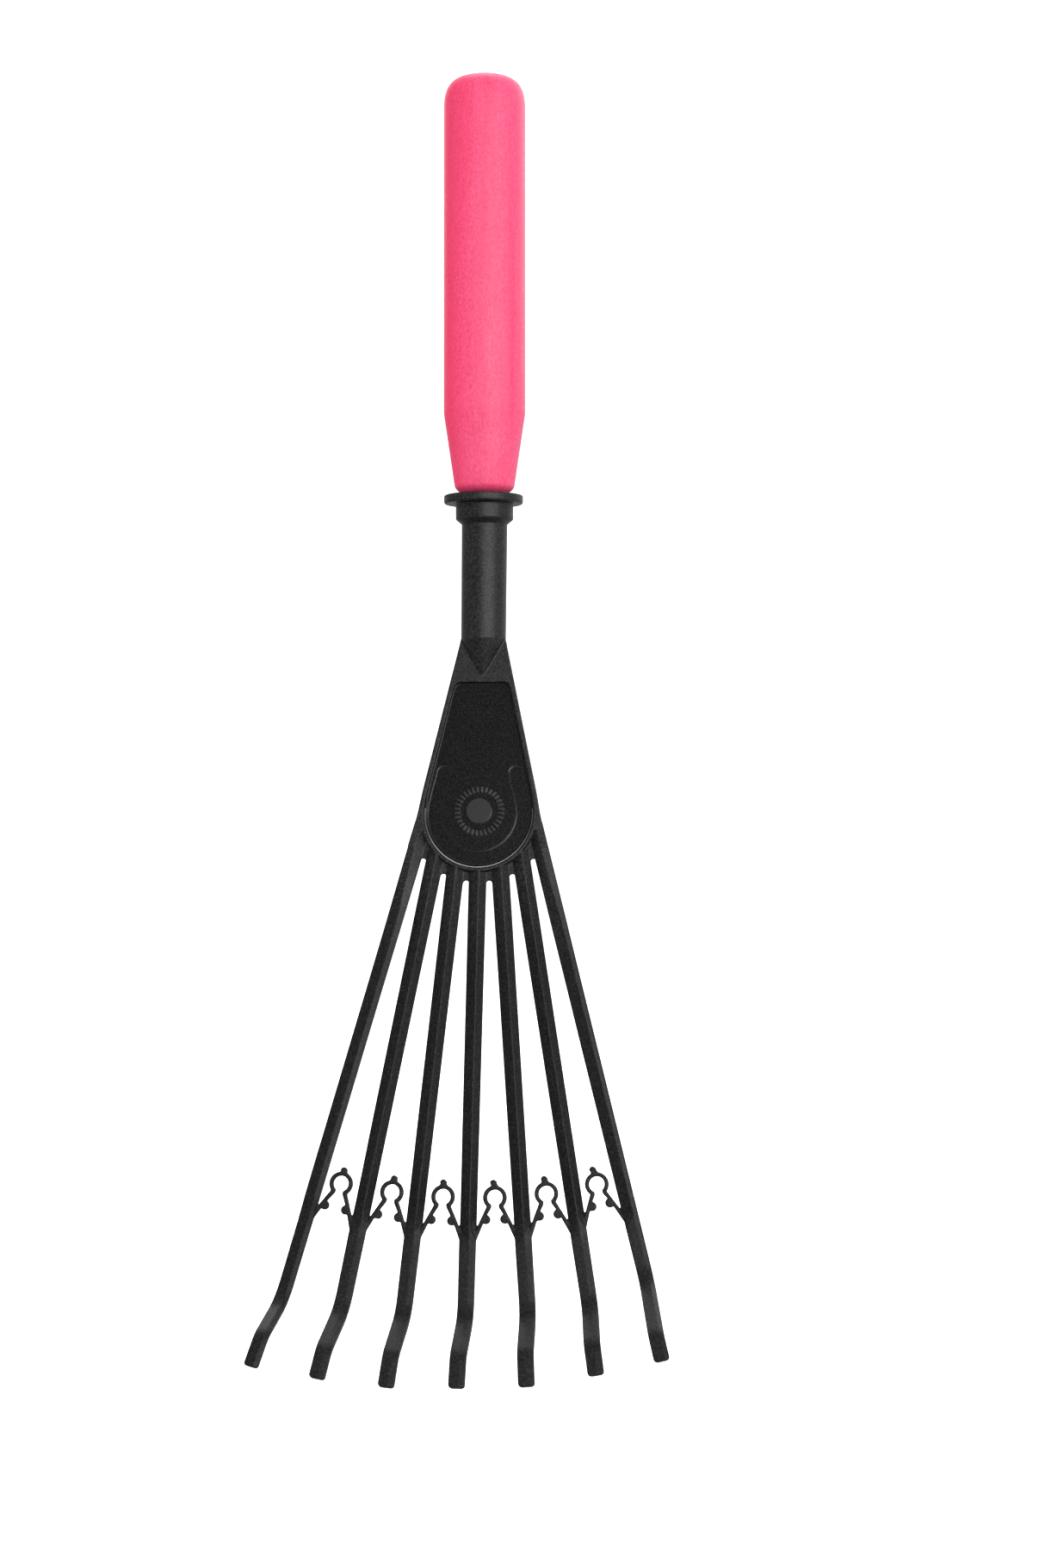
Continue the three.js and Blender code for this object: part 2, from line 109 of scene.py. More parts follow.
# ------------------------------------------------------------------ mesh helpers
def new_object(name, verts, faces):
    mesh = bpy.data.meshes.new(name)
    mesh.from_pydata([tuple(map(float, v)) for v in verts], [], faces)
    mesh.validate()
    mesh.update()
    ob = bpy.data.objects.new(name, mesh)
    scene.collection.objects.link(ob)
    return ob


def signed_volume(verts, faces):
    v = np.asarray(verts, float)
    total = 0.0
    for f in faces:
        for i in range(1, len(f) - 1):
            total += np.dot(v[f[0]], np.cross(v[f[i]], v[f[i + 1]]))
    return total


def closed(name, verts, faces):
    """A closed mesh whose faces all point outwards."""
    if signed_volume(verts, faces) < 0:
        faces = [tuple(reversed(f)) for f in faces]
    return new_object(name, verts, faces)


def wall_faces(rings, n):
    faces = []
    for r in range(rings - 1):
        for i in range(n):
            j = (i + 1) % n
            faces.append((r * n + i, r * n + j, (r + 1) * n + j, (r + 1) * n + i))
    return faces


def loft(name, rings):
    n = len(rings[0])
    faces = wall_faces(len(rings), n)
    faces.append(tuple(range(n - 1, -1, -1)))
    faces.append(tuple((len(rings) - 1) * n + i for i in range(n)))
    return closed(name, [p for r in rings for p in r], faces)


def slab(name, outline, z0, z1):
    return loft(name, [[(x, y, z) for x, y in outline] for z in (z0, z1)])


def lathe(name, profile, segments, place):
    """profile: [(radius, height)] from axis to axis. place moves the rows of x, y, z."""
    verts = []
    inner = profile[1:-1]
    for r, z in inner:
        for k in range(segments):
            a = 2 * math.pi * k / segments
            verts.append((r * math.cos(a), r * math.sin(a), z))
    low, high = len(verts), len(verts) + 1
    verts += [(0, 0, profile[0][1]), (0, 0, profile[-1][1])]
    faces = wall_faces(len(inner), segments)
    last = (len(inner) - 1) * segments
    for k in range(segments):
        j = (k + 1) % segments
        faces.append((low, j, k))
        faces.append((high, last + k, last + j))
    return closed(name, place(np.array(verts, float)), faces)


def cylinder(name, radius, z0, z1, segments, place):
    return lathe(name, [(0, z0), (radius, z0), (radius, z1), (0, z1)], segments, place)


def ring(r, centre, segments):
    a = np.arange(segments) * 2 * math.pi / segments
    x, y, z = centre
    return np.stack([x + r * np.cos(a), y + r * np.sin(a), np.full(segments, z)], 1)


def arc(cx, cy, r, start, end, steps):
    a = np.radians(np.linspace(start, end, steps + 1))
    return [(cx + r * math.cos(t), cy + r * math.sin(t)) for t in a]


def mirror(points):
    """The other half of an outline, reflected in x = 0 and run the other way."""
    return [(-x, y) for x, y in reversed(points)]


def turned(points, centre, angle):
    cx, cy = centre
    c, s = math.cos(angle), math.sin(angle)
    return [(cx + x * c - y * s, cy + x * s + y * c) for x, y in points]


def add_modifier(ob, kind, **settings):
    modifier = ob.modifiers.new(kind.lower(), kind)
    for name, value in settings.items():
        setattr(modifier, name, value)


def apply_modifiers(ob):
    bpy.ops.object.select_all(action="DESELECT")
    ob.select_set(True)
    bpy.context.view_layer.objects.active = ob
    for m in list(ob.modifiers):
        bpy.ops.object.modifier_apply(modifier=m.name)


def boolean(ob, other, operation):
    """Combines `other` into `ob` and removes it. EXACT steps in where MANIFOLD gives nothing."""
    for solver in ("MANIFOLD", "EXACT"):
        before = ob.data.copy()
        add_modifier(ob, "BOOLEAN", operation=operation, solver=solver, object=other)
        apply_modifiers(ob)
        if len(ob.data.polygons):
            break
        ob.data = before
    data = other.data
    bpy.data.objects.remove(other)
    bpy.data.meshes.remove(data)


def smooth_shade(ob):
    ob.data.polygons.foreach_set("use_smooth", [True] * len(ob.data.polygons))
    ob.data.update()


def hand_over(ob, cad_piece, place=None):
    """Scales a finished mesh to metres, shades it and puts it in place of its CAD piece."""
    ob.data.transform(Matrix.Diagonal((MM, MM, MM, 1)))
    if place is not None:
        ob.data.transform(place)
    smooth_shade(ob)
    add_modifier(ob, "WEIGHTED_NORMAL", mode="FACE_AREA", weight=50, keep_sharp=False)
    apply_modifiers(ob)
    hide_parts(cad_piece)
    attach(ob, "root")


def lookup(table, x):
    return float(np.interp(x, [a for a, _ in table], [b for _, b in table]))


# ------------------------------------------------------------------ head, in the plate's frame
PLATE_T = 3.6
APEX_Y = 69.1  # the point all the tines fan out from
PLATE_EDGE = [  # y, half width
    (62.6, 7.45), (61.5, 7.8), (59.1, 8.3), (56.6, 8.85), (51.6, 9.93), (46.7, 11.03),
    (41.8, 12.1), (32, 14.25), (22.2, 16.4), (12.5, 18.56), (7.7, 19.6), (2.9, 20.5),
    (0.5, 20.95), (-1.9, 21.5), (-4.3, 22.2), (-6.7, 22.85), (-11.5, 24.1),
]
RING_R = 20.0  # the plate's round lower end

PANEL_FLOOR = 2.5
RIM_W = 1.6
PANEL_R = 19.2
PANEL_STEPS = [  # step in from the outline at the front face, z
    (1.2, PANEL_FLOOR), (1.0, PANEL_FLOOR + 0.04), (0.78, PANEL_FLOOR + 0.16),
    (0.6, PANEL_FLOOR + 0.36), (0.48, PANEL_FLOOR + 0.62), (0.3, PLATE_T - 0.16),
    (0.0, PLATE_T), (0.0, PLATE_T + 2),
]
BAND_OUTER_R, BAND_INNER_R, BAND_DEPTH = 17.6, 12.9, 0.12
MARK_Y, MARK_H, MARK_DISC_R = 1.1, 0.16, 4.3
MARK_IN, MARK_OUT, MARK_BARS = 6.7, 8.5, 32  # the bars' inner and outer radius, and count

WEB_T = 1.5
SLOT_R = 1.1
SLOTS = [  # angle, distance of the round top from the apex
    (-12.57, 86.4), (-7.46, 90.4), (-2.44, 92.0), (2.44, 92.0), (7.46, 90.4), (12.57, 86.4),
]

TINES = [  # angle, then from the apex: start and end of the straight; lengths of ramp and tip
    (-14.81, 74.6, 240.8, 19.2, 10.8), (-9.95, 83.4, 239.2, 21.0, 9.7),
    (-4.98, 87.4, 237.7, 20.8, 10.5), (0.0, 88.5, 237.2, 19.8, 10.3),
    (4.98, 87.4, 236.8, 19.8, 10.6), (9.95, 83.4, 236.6, 19.2, 10.0),
    (14.81, 74.6, 231.9, 29.3, 8.1),
]
RAMP_ANGLE, TIP_ANGLE = math.radians(52.8), math.radians(14.3)
TINE_CHAMFER = 0.5
# Along a tine: distance from the apex, value.
TINE_W = [
    (84, 6.1), (103, 6.05), (130, 5.92), (156, 5.82), (182, 5.7), (212, 5.57), (232, 5.37),
    (300, 5.2),
]
OUTER_TINE_W = [
    (60, 5.5), (107, 5.45), (134, 5.33), (161, 5.3), (188, 5.2), (220, 5.05), (232, 4.95),
    (300, 5.15),
]
RIDGE_H = [
    (60, 3.6), (94, 3.6), (112, 3.4), (184, 3.3), (191, 3.5), (206, 3.5), (213, 2.75), (300, 2.7),
]
EDGE_H = [
    (60, 1.4), (94, 1.4), (112, 1.3), (184, 1.35), (191, 1.15), (206, 1.15), (213, 2.58),
    (300, 2.53),
]
OUTER_RIDGE_X = [(0, 0.3), (92, 0.3), (112, 1.2), (300, 1.2)]
OUTER_DROP = [(0, 9.0), (92, 2.2), (112, 1.0), (300, 1.0)]
LEFT_TURN = [(0, 0.0), (84, 0.0), (108, 1.0), (300, 1.0)]

SPRINGS = [  # angle, ring's centre from the apex, the stub's round end, the pips' distance below
    (-12.48, 199.4, (-0.1, 4.4), 8.1), (-7.48, 198.91, (0.1, 4.5), 7.85),
    (-2.5, 198.58, (-0.2, 4.6), 7.7), (2.5, 198.55, (-0.4, 4.75), 7.1),
    (7.46, 198.46, (-0.2, 4.75), 7.0), (12.37, 197.98, (-0.4, 4.85), 6.8),
]
SPRING_R, SPRING_WIRE, STUB_R, PIP_R = 3.93, 1.34, 1.12, 1.52
SPRING_Z = (0.25, 2.15)

NECK_TOP = FLANGE_TOP - 9.9
NECK_SEGMENTS = 96
CROWN = [  # radius, z: the collar, then the flange
    (0, NECK_TOP), (7.95, NECK_TOP), (8.2, NECK_TOP + 0.12), (9.65, NECK_TOP + 1.3),
    (9.93, NECK_TOP + 1.55), (10.02, NECK_TOP + 1.9), (10.02, FLANGE_TOP - 3.2),
    (10.25, FLANGE_TOP - 2.95), (13.15, FLANGE_TOP - 2.9), (13.5, FLANGE_TOP - 2.78),
    (13.7, FLANGE_TOP - 2.5), (13.76, FLANGE_TOP - 2.2), (13.76, FLANGE_TOP - 0.2),
    (13.7, FLANGE_TOP - 0.05), (13.55, FLANGE_TOP + 0.04), (0, FLANGE_TOP + 0.04),
]
FLANGE_SHIFT = 0.35
BORE_R, BORE_DEPTH = 5.3, 24.3
SPOT_R, SPOT_FROM = 2.8, 8.9  # the flat cut for the screw's head

VOXEL = 0.22
HEAD_TRIANGLES = 190000


def fan_placed(points, degrees, distance):
    """Moves an outline to a place on the fan, with its y pointing back at the apex."""
    a = math.radians(degrees)
    return turned(points, fan_point(degrees, distance), a)


def fan_point(degrees, distance):
    a = math.radians(degrees)
    return distance * math.sin(a), APEX_Y - distance * math.cos(a)


def plate_outline():
    edge = [(x, y) for y, x in PLATE_EDGE]
    notch = [(21.95, -12.1), (20.2, -5.6)]
    return edge + notch + arc(0, 0, RING_R, -17, -163, 72) + mirror(notch[:1]) + mirror(edge)


def panel_outline(step):
    """The recess at one height, as a step in from its outline at the plate's front face."""
    inset, r = RIM_W + 0.12 * step, PANEL_R - step

    def side_x(y):
        return lookup(PLATE_EDGE[::-1], y) - inset

    top = 46.3 - 0.08 * step
    corner = side_x(45.2)
    half = [
        (corner - 2.3, top), (corner - 1.45, top - 0.12), (corner - 0.72, top - 0.52),
        (corner - 0.25, top - 1.1), (corner + 0.05, top - 1.8),
    ]
    # the straight side, blending into the round end
    half += [(side_x(y), float(y)) for y in np.linspace(43.2, 5.5, 24)]
    x_end = half[-1][0]
    for a in np.radians(np.linspace(8, 0, 4)):
        half.append((min(r * math.cos(a), x_end + 2), r * math.sin(a)))
    half += arc(0, 0, r, -2, -90, 60)[:-1]
    return half + [(0.0, -r)] + mirror(half)


def web_with_slots():
    """The thin web between the plate's round end and the gaps."""
    outline = [(0, 0), (19.4, 0.6), (20.6, -6)]
    for i in range(25):
        outline.append(fan_point(14.6 - 29.2 * i / 24, 93.6 - 4.2 * abs(1 - i / 12) ** 3))
    outline += [(-20.6, -6), (-19.4, 0.6)]
    web = slab("web", outline, 0, WEB_T)
    slot = arc(0, 0, SLOT_R, 0, 180, 20) + [(-1.45, -9), (1.45, -9)]
    for angle, top in SLOTS:
        cutter = slab("slot", fan_placed(slot, angle, top + SLOT_R), -1, 3)
        boolean(web, cutter, "DIFFERENCE")
    return web


def unit(v):
    return v / np.linalg.norm(v)


def bend(before, corner, after, reach, steps):
    """A curve round a corner, from `reach` before it to `reach` after it."""
    start = corner + unit(before - corner) * reach
    end = corner + unit(after - corner) * reach
    u = np.linspace(0, 1, steps + 1)[:, None]
    return list((1 - u) ** 2 * start + 2 * u * (1 - u) * corner + u**2 * end)


def tine_path(start, straight, ramp, tip):
    """Points (distance out from the apex, height) down a tine to its tip."""
    p0 = np.array([straight, 0.0])
    p1 = p0 + ramp * np.array([math.cos(RAMP_ANGLE), math.sin(RAMP_ANGLE)])
    p2 = p1 + tip * np.array([math.cos(TIP_ANGLE), math.sin(TIP_ANGLE)])
    path = [np.array([s, 0.0]) for s in np.arange(start, straight - 9, 4.0)]
    path += bend(path[-1], p0, p1, reach=6.0, steps=14)
    path += bend(p0, p1, p2, reach=2.6, steps=8)
    d = unit(p2 - p1)
    return np.array(path + [p2 - d * 0.9, p2 - d * 0.5, p2 - d * 0.2, p2])


def tine_section(angle, run, trim):
    """Points (across, height) round a tine, at a distance along it from the apex."""
    outer = abs(angle) > 12
    w = lookup(OUTER_TINE_W if outer else TINE_W, run) / 2 - trim
    ridge, edge = lookup(RIDGE_H, run), lookup(EDGE_H, run)
    c = TINE_CHAMFER
    base = [(-w + c, 0), (w - c, 0), (w, c)]
    if not outer:
        return base + [(w, edge), (0.7, ridge), (0.4, ridge), (-w, edge), (-w, c)]
    side = 1 if angle > 0 else -1
    ridge_x = lookup(OUTER_RIDGE_X, run)
    low = max(edge, ridge - lookup(OUTER_DROP, run))
    shoulder = (0.75, 0.4)
    if side < 0:
        # the left one's face turns outwards along its length
        turn = lookup(LEFT_TURN, run)
        low += (ridge - 0.35 - low) * turn
        ridge_x += (-0.9 - ridge_x) * turn
        shoulder = (0.75 + 0.75 * turn, 0.4 + 0.8 * turn)
    section = base + [
        (w, ridge - shoulder[0]), (w - 0.25, ridge - shoulder[1]), (ridge_x, ridge),
        (-w, low), (-w, c),
    ]
    return [(x * side, z) for x, z in section]


def tine_rings(angle, start, straight, ramp, tip):
    path = tine_path(start, straight, ramp, tip)
    last = len(path) - 1
    trims = {last: 0.8, last - 1: 0.35, last - 2: 0.1}  # rounds the tip's corners
    steps = np.diff(path, axis=0)
    run = start + np.concatenate([[0], np.cumsum(np.linalg.norm(steps, axis=1))])
    a = math.radians(angle)
    along = np.array([math.sin(a), -math.cos(a), 0.0])
    across = np.array([math.cos(a), math.sin(a), 0.0])
    rings = []
    for k, p in enumerate(path):
        d = unit(unit(steps[max(k - 1, 0)]) + unit(steps[min(k, last - 1)]))
        up = np.array([-d[1], d[0]])
        row = []
        for x, z in tine_section(angle, run[k], trims.get(k, 0)):
            lift = z - PLATE_T / 2
            s, h = p[0] + up[0] * lift, p[1] + PLATE_T / 2 + up[1] * lift
            q = np.array([0, APEX_Y, 0]) + along * s + across * x
            row.append((q[0], q[1], h))
        rings.append(row)
    return rings


def spring_outline(angle, distance, stub_end, pip):
    """An open ring with a stub at its top and two legs with pips below."""
    stub_x, stub_y = stub_end

    def half(lean):
        out = []
        for t in np.radians(np.linspace(12, 90, 9)):
            out.append((lean + STUB_R * math.sin(t), stub_y + STUB_R * math.cos(t)))
        out.append(((lean + STUB_R + 1.0) / 2, (stub_y + SPRING_R) / 2))
        out.append((STUB_R + 0.08, SPRING_R - 0.12))
        out += arc(0, 0, SPRING_R, 66, -44, 26)
        out += [(2.82, -2.98), (8.32, -13.95), (6.9, -14.75)]
        out += arc(1.3 + 0.489 * (pip - 3.3), -pip, PIP_R, -53, -255, 18)
        out += [(1.4, -3.4), (1.28, -2.85)]
        return out + arc(0, 0, SPRING_R - SPRING_WIRE, -60, 90, 28)

    outline = [(stub_x, stub_y + STUB_R)] + half(stub_x) + mirror(half(-stub_x)[:-1])
    return fan_placed(outline, angle, distance)


def neck_parts():
    """The crown, the neck tapering down the plate's front and the fairing down its back."""

    def crown_place(points):
        # the flange sits a little to the left of the collar, as moulded
        points = points.copy()
        points[points[:, 2] > FLANGE_TOP - 3.0, 0] -= FLANGE_SHIFT
        return to_plate(on_handle_axis(points))

    n = NECK_SEGMENTS
    crown = lathe("crown", CROWN, n, crown_place)
    neck_end = np.array([0, AXIS_Y - 2.7, FLANGE_TOP - 49.85])
    rings = [
        ring(7.93, (0, AXIS_Y, NECK_TOP + 1.2), n), ring(7.93, (0, AXIS_Y, NECK_TOP - 0.4), n),
        ring(7.78, neck_end, n), ring(1.0, from_plate(0, 49.2, PLATE_T - 0.75), n),
    ]
    neck = loft("neck", [to_plate(r) for r in rings])
    rings = [
        ring(7.52, neck_end + np.array([0, 0.2, 3]), n), ring(7.64, neck_end, n),
        ring(1.0, from_plate(0, 30, 0.75), n),
    ]
    fairing = loft("fairing", [to_plate(r) for r in rings])
    rear = slab("rear", [(-30, 0), (30, 0), (30, 90), (-30, 90)], -40, PLATE_T / 2)
    boolean(fairing, rear, "INTERSECT")
    return [crown, neck, fairing]


def add_relief(plate):
    """A shallow U groove in the panel, and a raised mark of short bars round a disc."""
    left = [(-17.5, 3), (-16.9, 6), (-16.1, 9.5), (-14.95, 14.0)]
    left += arc(-12.4, 14.3, 2.55, 176, 8, 14)
    left += [(-10.7, 10.5), (-12.1, 5.6), (-12.75, 2.2)]
    outline = arc(0, 0, BAND_OUTER_R, 0, -180, 60) + left
    outline += arc(0, 0, BAND_INNER_R, 180, 360, 50) + mirror(left)
    band = slab("band", outline, PANEL_FLOOR - BAND_DEPTH, PANEL_FLOOR + 0.5)
    boolean(plate, band, "DIFFERENCE")
    raised = [arc(0, MARK_Y, MARK_DISC_R, 0, 355, 71)]
    bar = [(MARK_IN, -0.3), (MARK_OUT, -0.34), (MARK_OUT, 0.34), (MARK_IN, 0.3)]
    for k in range(MARK_BARS):
        raised.append(turned(bar, (0, MARK_Y), 2 * math.pi * (k + 0.5) / MARK_BARS))
    for outline in raised:
        piece = slab("mark", outline, PANEL_FLOOR - 0.6, PANEL_FLOOR + MARK_H)
        boolean(plate, piece, "UNION")


def cut_holes(plate):
    """The handle's socket, the screw's hole and the flat round it."""

    def upright(points):
        return to_plate(on_handle_axis(points))

    def backwards(points):
        return to_plate(on_screw_axis(points))

    bore_z = FLANGE_TOP - BORE_DEPTH, FLANGE_TOP + 5
    boolean(plate, cylinder("bore", BORE_R, *bore_z, 64, upright), "DIFFERENCE")
    boolean(plate, cylinder("hole", SCREW_HOLE_R, 0, 20, 40, backwards), "DIFFERENCE")
    boolean(plate, cylinder("spot", SPOT_R, SPOT_FROM, 20, 48, backwards), "DIFFERENCE")


def build_head():
    plate = slab("rake_head_mesh", plate_outline(), 0, PLATE_T)
    panel = [[(x, y, z) for x, y in panel_outline(step)] for step, z in PANEL_STEPS]
    boolean(plate, loft("panel", panel), "DIFFERENCE")
    parts = [web_with_slots()]
    parts += [loft("tine", tine_rings(*tine)) for tine in TINES]
    parts += [slab("spring", spring_outline(*spring), *SPRING_Z) for spring in SPRINGS]
    for part in parts + neck_parts():
        boolean(plate, part, "UNION")
    add_relief(plate)
    cut_holes(plate)
    return plate


def keep_biggest(ob):
    """Drops loose crumbs the remesh may leave."""
    bm = bmesh.new()
    bm.from_mesh(ob.data)
    seen, groups = set(), []
    for first in bm.verts:
        if first in seen:
            continue
        stack, group = [first], []
        seen.add(first)
        while stack:
            v = stack.pop()
            group.append(v)
            for e in v.link_edges:
                other = e.other_vert(v)
                if other not in seen:
                    seen.add(other)
                    stack.append(other)
        groups.append(group)
    groups.sort(key=len, reverse=True)
    if len(groups) > 1:
        bmesh.ops.delete(bm, geom=[v for g in groups[1:] for v in g], context="VERTS")
    bm.to_mesh(ob.data)
    bm.free()


def fuse(ob):
    """Remeshes the joined pieces into one skin with softened edges."""
    add_modifier(ob, "REMESH", mode="VOXEL", voxel_size=VOXEL, adaptivity=0.0)
    apply_modifiers(ob)
    # there and back again, so that the steps go and thin pieces keep their thickness
    for factor in (0.5, -0.53, 0.5, -0.53, 0.5, -0.53, 0.45, -0.3):
        add_modifier(ob, "SMOOTH", factor=factor, iterations=1)
    apply_modifiers(ob)
    triangles = 2 * len(ob.data.polygons)
    add_modifier(ob, "DECIMATE", ratio=min(1.0, HEAD_TRIANGLES / triangles))
    apply_modifiers(ob)
    keep_biggest(ob)


head = build_head()
fuse(head)
head.name = "rake_head_moulding"
hand_over(head, "rake_head", place=PLATE)

# ------------------------------------------------------------------ handle
HANDLE_R = 14.2
HANDLE_FOOT = FLANGE_TOP + 0.3
HANDLE_FLARE = [  # radius, height above the foot
    (6.4, 0), (7.45, 0.4), (8.4, 0.85), (9.2, 1.35), (9.8, 1.9), (10.2, 2.45), (10.4, 3.0),
    (10.57, 3.9), (11.37, 9.3), (12.27, 15.4), (13.17, 21.4), (13.78, 25.4), (14.1, 27.6),
    (HANDLE_R, 29.5), (HANDLE_R, 33.0), (HANDLE_R, 60.0),
]
SPIGOT = [  # radius, height above the foot
    (0, -24), (4.4, -24), (5.0, -23.3), (5.0, -0.01),
]
DOME_H = 13.0
DOME_POWER, DOME_ROOT = 3.3, 3.8  # the superellipse's exponents down and across


def monotone(x, xs, ys):
    """Smooth interpolation through points that only rise."""
    xs, ys = np.array(xs, float), np.array(ys, float)
    d = np.diff(ys) / np.diff(xs)
    m = np.concatenate([[d[0]], (d[1:] + d[:-1]) / 2, [d[-1]]])
    for i in range(len(d)):
        if d[i] == 0:
            m[i] = m[i + 1] = 0
        else:
            a, b = m[i] / d[i], m[i + 1] / d[i]
            q = a * a + b * b
            if q > 9:
                m[i], m[i + 1] = 3 * a / math.sqrt(q) * d[i], 3 * b / math.sqrt(q) * d[i]
    i = np.clip(np.searchsorted(xs, x) - 1, 0, len(d) - 1)
    h = xs[i + 1] - xs[i]
    t = (x - xs[i]) / h
    return (
        (2 * t**3 - 3 * t**2 + 1) * ys[i] + (t**3 - 2 * t**2 + t) * h * m[i]
        + (-2 * t**3 + 3 * t**2) * ys[i + 1] + (t**3 - t**2) * h * m[i + 1]
    )


def handle_profile():
    foot, top = HANDLE_FOOT, HANDLE_TOP
    radii, heights = zip(*HANDLE_FLARE)
    profile = [(r, foot + z) for r, z in SPIGOT]
    for span in ((0, 3.4, 22), (3.8, 26, 30), (26.4, 32, 12)):
        profile += [(float(monotone(z, heights, radii)), foot + z) for z in np.linspace(*span)]
    profile += [(HANDLE_R, foot + z) for z in np.linspace(36, top - foot - DOME_H, 40)]
    # the crown is a superellipse: flat on top, full at the shoulder
    for a in np.linspace(90, 1.0, 70):
        level = math.sin(math.radians(a)) ** 2.2  # spaces the rings
        drop = DOME_H * (1 - (1 - level) ** (1 / 1.6))
        r = HANDLE_R * (1 - ((DOME_H - drop) / DOME_H) ** DOME_POWER) ** (1 / DOME_ROOT)
        profile.append((float(max(r, 0.05)), top - float(drop)))
    return profile + [(0, top)]


handle = lathe("turned_handle", handle_profile(), 128, on_handle_axis)
pilot = cylinder("pilot", SCREW_HOLE_R, -3.1, 8, 40, on_screw_axis)
boolean(handle, pilot, "DIFFERENCE")
hand_over(handle, "wooden_handle")

# ------------------------------------------------------------------ screw
SCREW_HEAD_R, SCREW_RIM_H, SCREW_DOME_H = 2.5, 0.5, 1.1
SCREW_HEAD_H = SCREW_RIM_H + SCREW_DOME_H
SCREW_SHANK = [  # radius, height above the seat
    (0, -12), (0.35, -11.7), (1.45, -9.8), (1.45, -0.15), (1.6, 0), (2.42, 0),
]
CROSS_TURN = 0.35
CROSS_ARM, CROSS_HALF_W = 1.4, 0.3
CROSS_LEVELS = [(0.75, 0.72), (2.4, 1.0)]  # height above the seat, share of the arm's length


def screw_place(points):
    return on_screw_axis(points, seat=SCREW_BACK - AXIS_Y - SCREW_HEAD_H)


def build_screw():
    """A pan head screw with a cross recess."""
    profile = SCREW_SHANK + [(SCREW_HEAD_R, 0.08), (SCREW_HEAD_R, SCREW_RIM_H)]
    for a in np.radians(np.linspace(8, 88, 12)):
        profile.append((SCREW_HEAD_R * math.cos(a), SCREW_RIM_H + SCREW_DOME_H * math.sin(a)))
    profile.append((0, SCREW_HEAD_H))
    screw = lathe("pan_head_screw", profile, 56, screw_place)
    for turn in (CROSS_TURN, CROSS_TURN + math.pi / 2):
        rings = []
        for z, share in CROSS_LEVELS:
            x, y = CROSS_ARM * share, CROSS_HALF_W
            corners = turned([(-x, -y), (x, -y), (x, y), (-x, y)], (0, 0), turn)
            rings.append(screw_place(np.array([(*c, z) for c in corners], float)))
        boolean(screw, loft("cross", rings), "DIFFERENCE")
    return screw


screw = build_screw()
hand_over(screw, "handle_screw")


# ------------------------------------------------------------------ node helpers
BLACK, WHITE = (0, 0, 0), (1, 1, 1)


class Graph:
    """A cleared node tree with its output and shader, and a method for each kind of node."""

    def __init__(self, owner, output, shader):
        owner.use_nodes = True
        self.tree = owner.node_tree
        self.tree.nodes.clear()
        out = self.add(output)
        self.shader = self.add(shader)
        self.feed(out, {0: self.shader.outputs[0]})

    def add(self, kind, inputs=None, **settings):
        node = self.tree.nodes.new(kind)
        for name, value in settings.items():
            setattr(node, name, value)
        self.feed(node, inputs or {})
        return node

    def feed(self, node, inputs):
        """Links each input to a socket, or sets it to a plain value."""
        for key, value in inputs.items():
            if isinstance(value, bpy.types.NodeSocket):
                self.tree.links.new(value, node.inputs[key])
            else:
                node.inputs[key].default_value = value

    def maths(self, operation, *values, clamp=False):
        inputs = dict(enumerate(values))
        return self.add("ShaderNodeMath", inputs, operation=operation, use_clamp=clamp).outputs[0]

    def product(self, first, *others):
        for other in others:
            first = self.maths("MULTIPLY", first, other)
        return first

    def above(self, value, limit):
        return self.maths("GREATER_THAN", value, limit)

    def below(self, value, limit):
        return self.maths("LESS_THAN", value, limit)

    def length(self, x, y):
        return self.maths("SQRT", self.maths("ADD", self.product(x, x), self.product(y, y)))

    def mix(self, factor, a, b):
        return self.add("ShaderNodeMix", {0: factor, 2: a, 3: b}, data_type="FLOAT").outputs[0]

    def mix_colour(self, factor, a, b, blend="MIX"):
        a, b = ((*c, 1.0) if isinstance(c, tuple) else c for c in (a, b))
        inputs = {0: factor, 6: a, 7: b}
        return self.add("ShaderNodeMix", inputs, data_type="RGBA", blend_type=blend).outputs[2]

    def ramp(self, factor, stops):
        node = self.add("ShaderNodeValToRGB", {0: factor})
        elements = node.color_ramp.elements
        for element, (position, colour) in zip(elements, (stops[0], stops[-1])):
            element.position, element.color = position, (*colour, 1)
        for position, colour in stops[1:-1]:
            elements.new(position).color = (*colour, 1)
        return node.outputs[0]

    def fade(self, value, start, end):
        """0 up to start, 1 from end on."""
        return self.ramp(value, [(start, BLACK), (end, WHITE)])

    def noise(self, vector, scale, detail, roughness, distortion=0.0):
        inputs = {
            "Scale": scale, "Detail": detail, "Roughness": roughness,
            "Distortion": distortion, "Vector": vector,
        }
        return self.add("ShaderNodeTexNoise", inputs).outputs["Fac"]

    def mapped(self, scale):
        where = self.add("ShaderNodeTexCoord").outputs["Object"]
        return self.add("ShaderNodeMapping", {"Scale": scale, "Vector": where}).outputs["Vector"]

    def bump(self, distance, strength, height):
        inputs = {"Distance": distance, "Strength": strength, "Height": height}
        return self.add("ShaderNodeBump", inputs).outputs[0]


def new_material(name):
    made = bpy.data.materials.new(name)
    return made, Graph(made, "ShaderNodeOutputMaterial", "ShaderNodeBsdfPrincipled")


